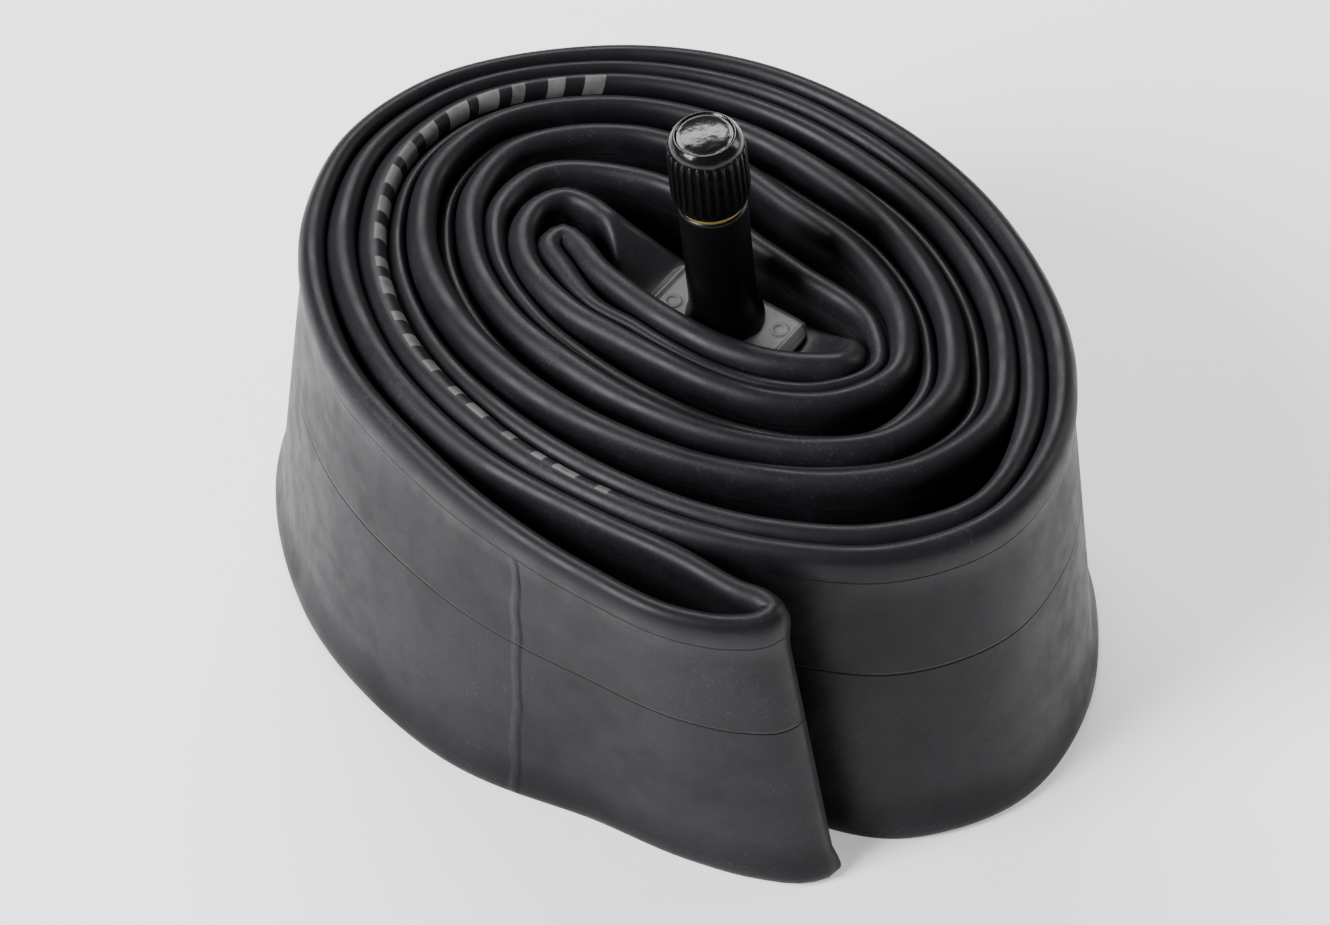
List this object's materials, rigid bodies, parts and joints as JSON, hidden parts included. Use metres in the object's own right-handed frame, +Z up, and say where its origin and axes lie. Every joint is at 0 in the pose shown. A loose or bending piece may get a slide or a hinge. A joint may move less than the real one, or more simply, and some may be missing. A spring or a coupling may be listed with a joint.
{
  "type": "bicycle inner tube",
  "caption": "Rolled bicycle inner tube standing on its edge, pressed flat and folded double, with a car-type valve and a ribbed dust cap in the middle.",
  "frame": {"origin": "on the surface the roll stands on, under the middle of the roll's outline", "axes": "+Z up, out of the roll on the valve's side; +Y away from the outer fold, towards the back of the roll; +X to the right; the valve leans 5 degrees towards -X"},
  "size_m": [0.1018, 0.0976, 0.0737],
  "materials": {
    "tube_rubber": "matte, dusted with talc",
    "patch_rubber": "matte",
    "stem_rubber": "satin",
    "stem_brass": "machined",
    "cap_plastic": "gloss top, satin ribs",
    "seal_rubber": "matte",
    "core_brass": "plated",
    "gasket_rubber": "matte",
    "pin_steel": "bright",
    "spring_steel": "bright"
  },
  "bodies": {
    "tube_and_stem": {"tube": "tube_rubber", "valve_patch": "patch_rubber", "stem_rubber": "stem_rubber", "valve_stem": "stem_brass"},
    "cap_lifter": {"cap_seal": "seal_rubber"},
    "cap": {"dust_cap": "cap_plastic"},
    "core_body": {"core_barrel": "core_brass", "core_gasket": "gasket_rubber", "core_spring": "spring_steel"},
    "core_screw": {"core_plug": "core_brass"},
    "needle": {"core_pin": "pin_steel", "core_cup": "core_brass", "core_washer": "seal_rubber"}
  },
  "joints": [
    {"name": "cap_lift", "type": "slide", "parent": "tube_and_stem", "child": "cap_lifter", "axis": [-0.0872, 0, 0.9962], "range_m": [0, 0.00794]},
    {"name": "cap_turn", "type": "hinge", "parent": "cap_lifter", "child": "cap", "pos_m": [0.00262, 0.00272, 0.07113], "axis": [-0.0872, 0, 0.9962], "range_deg": [0, 3600]},
    {"name": "core_lift", "type": "slide", "parent": "tube_and_stem", "child": "core_body", "axis": [-0.0872, 0, 0.9962], "range_m": [0, 0.00141]},
    {"name": "core_turn", "type": "hinge", "parent": "core_body", "child": "core_screw", "pos_m": [0.00289, 0.00272, 0.068], "axis": [-0.0872, 0, 0.9962], "range_deg": [0, 720]},
    {"name": "pin_press", "type": "slide", "parent": "core_body", "child": "needle", "axis": [-0.0872, 0, 0.9962], "range_m": [-0.0012, 0], "stiffness_N_per_m": 300, "springref_m": 0.004, "deforming": ["core_spring"]}
  ],
  "couplings": [
    {"joint": "cap_turn", "follows": "cap_lift", "rad_per_m": 7915.8},
    {"joint": "core_turn", "follows": "core_lift", "rad_per_m": 8905.2}
  ]
}
